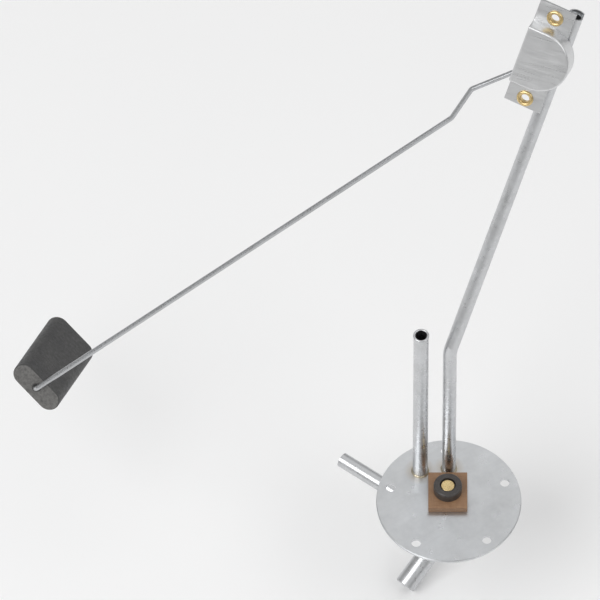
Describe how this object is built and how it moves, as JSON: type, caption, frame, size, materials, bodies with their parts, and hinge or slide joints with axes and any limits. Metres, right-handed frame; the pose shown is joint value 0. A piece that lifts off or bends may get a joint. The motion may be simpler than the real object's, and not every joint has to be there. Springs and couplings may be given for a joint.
{
  "type": "fuel sending unit",
  "caption": "Tank-top fuel sending unit: round screw-down flange with supply and vent pipes, an insulated terminal, and a housed resistor sender whose long wire arm carries a float.",
  "frame": {"origin": "centre of the screw circle on the flange's tank-side face", "axes": "+Z square to the flange into the tank, along the pipes; +X to the viewer's right in the picture's view, across the flange; +Y away from the viewer, towards the two pipes"},
  "size_m": [0.3281, 0.1632, 0.4249],
  "materials": {
    "zinc_plate": "bright zinc-plated pressed steel",
    "pipe": "tinned steel tube, smooth",
    "braze": "bare braze fillet",
    "phenolic": "brown phenolic sheet, faint fibre",
    "phenolic_black": "moulded black phenolic, satin",
    "brass": "turned brass",
    "tin_can": "tinplate, pressed",
    "bright_steel": "bright steel",
    "card": "fibre card",
    "resistance_wire": "bare nickel-chromium wire",
    "die_cast": "zinc die casting",
    "spring_bronze": "phosphor bronze strip",
    "silver": "silver contact button",
    "spring_wire": "drawn spring steel wire, plated",
    "foam": "closed-cell nitrile foam with a smooth skin"
  },
  "bodies": {
    "root": {"flange_plate": "zinc_plate", "supply_pipe": "pipe", "outlet_nipple": "pipe", "vent_pipe": "pipe", "supply_braze": "braze", "vent_braze": "braze", "terminal_block": "phenolic", "terminal_bushing": "phenolic_black", "terminal_stud": "brass", "outer_insulator": "phenolic_black", "terminal_washer": "brass", "terminal_nut": "brass", "lead_nut": "brass", "sender_plate": "zinc_plate", "sender_cover": "tin_can", "upper_eyelet": "brass", "lower_eyelet": "brass", "upper_pipe_clip": "zinc_plate", "lower_pipe_clip": "zinc_plate", "pivot_pin": "bright_steel", "thrust_washer": "brass", "pivot_clip": "bright_steel", "resistor_card": "card", "resistance_winding": "resistance_wire", "card_terminal": "brass"},
    "float_arm": {"arm_hub": "die_cast", "hub_screw": "bright_steel", "wiper_spring": "spring_bronze", "wiper_contact": "silver", "arm_wire": "spring_wire", "float_push_nut": "bright_steel"},
    "float": {"float": "foam"}
  },
  "joints": [
    {"name": "arm_swing", "type": "hinge", "parent": "root", "child": "float_arm", "pos_m": [0.05169, 0.10295, 0.30898], "axis": [0.2972, 0.8298, -0.4724], "range_deg": [0, 75]},
    {"name": "float_spin", "type": "hinge", "parent": "float_arm", "child": "float", "pos_m": [-0.23959, 0.04903, 0.04198], "axis": [0.2972, 0.8298, -0.4724], "continuous": true}
  ]
}
